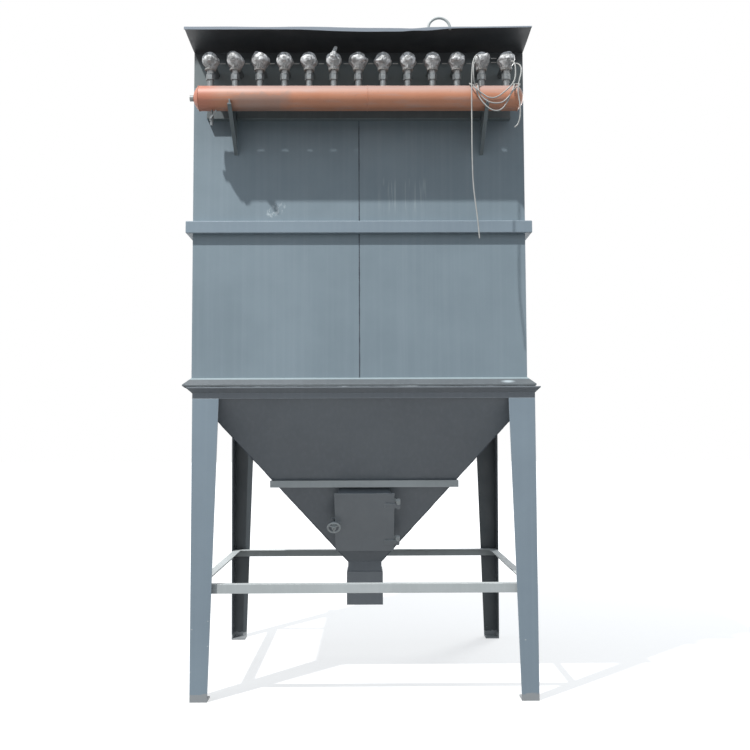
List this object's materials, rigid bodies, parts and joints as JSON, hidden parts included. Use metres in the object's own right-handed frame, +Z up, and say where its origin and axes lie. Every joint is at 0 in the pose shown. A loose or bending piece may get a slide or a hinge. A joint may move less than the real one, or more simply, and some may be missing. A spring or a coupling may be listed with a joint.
{
  "type": "pulse bag dust collector",
  "caption": "Free-standing pulse bag dust collector: sheet-steel casing on a legged base, pyramid hopper with a door, and an air header with wrapped pulse valves.",
  "frame": {"origin": "on the ground, in the middle of the four foot anchors", "axes": "+X to the right along the front, +Y from the valve side to the duct side at the rear, +Z up"},
  "size_m": [2.5002, 2.57, 4.6666],
  "materials": {
    "grey_blue_paint": "satin",
    "shaded_paint": "satin",
    "brace_paint": "satin",
    "oxide_primer": "satin",
    "cast_alloy": "satin",
    "plated_steel": "satin",
    "plastic_film": "gloss",
    "cable_jacket": "matte",
    "filter_felt": "matte",
    "seal_rubber": "matte"
  },
  "bodies": {
    "frame": {"legs": "grey_blue_paint", "foot_plates": "shaded_paint", "braces": "brace_paint", "ring_beam": "shaded_paint", "casing_flange": "grey_blue_paint", "flange_gasket": "seal_rubber", "front_wall": "grey_blue_paint", "valve_panel": "grey_blue_paint", "side_walls": "grey_blue_paint", "rear_wall": "grey_blue_paint", "middle_band": "grey_blue_paint", "tube_sheet": "plated_steel", "filter_bags": "filter_felt", "roof_plate": "grey_blue_paint", "roof_lids": "grey_blue_paint", "lid_handles": "grey_blue_paint", "canopy": "shaded_paint", "roof_loop": "shaded_paint", "hopper_front": "shaded_paint", "hopper_rear": "shaded_paint", "hopper_sides": "shaded_paint", "hopper_stiffener": "shaded_paint", "outlet_neck": "shaded_paint", "discharge_sleeve": "grey_blue_paint", "door_neck": "shaded_paint", "hinge_brackets": "shaded_paint", "screw_catch": "shaded_paint", "door_gasket": "seal_rubber", "header_pipe": "oxide_primer", "header_ends": "oxide_primer", "header_fittings": "oxide_primer", "header_brackets": "grey_blue_paint", "valve_nipples": "plated_steel", "valve_bodies": "cast_alloy", "valve_bonnets": "cast_alloy", "blow_pipes": "plated_steel", "valve_wraps": "plastic_film", "signal_wires": "cable_jacket", "duct_stubs": "grey_blue_paint", "drop_cable": "cable_jacket", "loop_cable": "cable_jacket", "tail_cable": "cable_jacket"},
    "door": {"hopper_door": "grey_blue_paint"},
    "wheel": {"handwheel": "grey_blue_paint", "door_screw": "plated_steel"}
  },
  "joints": [
    {"name": "door_swing", "type": "hinge", "parent": "frame", "child": "door", "pos_m": [0.252, -0.49062, 1.15356], "axis": [0, -0.5818, 0.8133], "range_deg": [0, 115]},
    {"name": "handwheel_turn", "type": "hinge", "parent": "door", "child": "wheel", "pos_m": [-0.23, -0.52153, 1.13145], "axis": [0, -0.8133, -0.5818], "continuous": true}
  ]
}
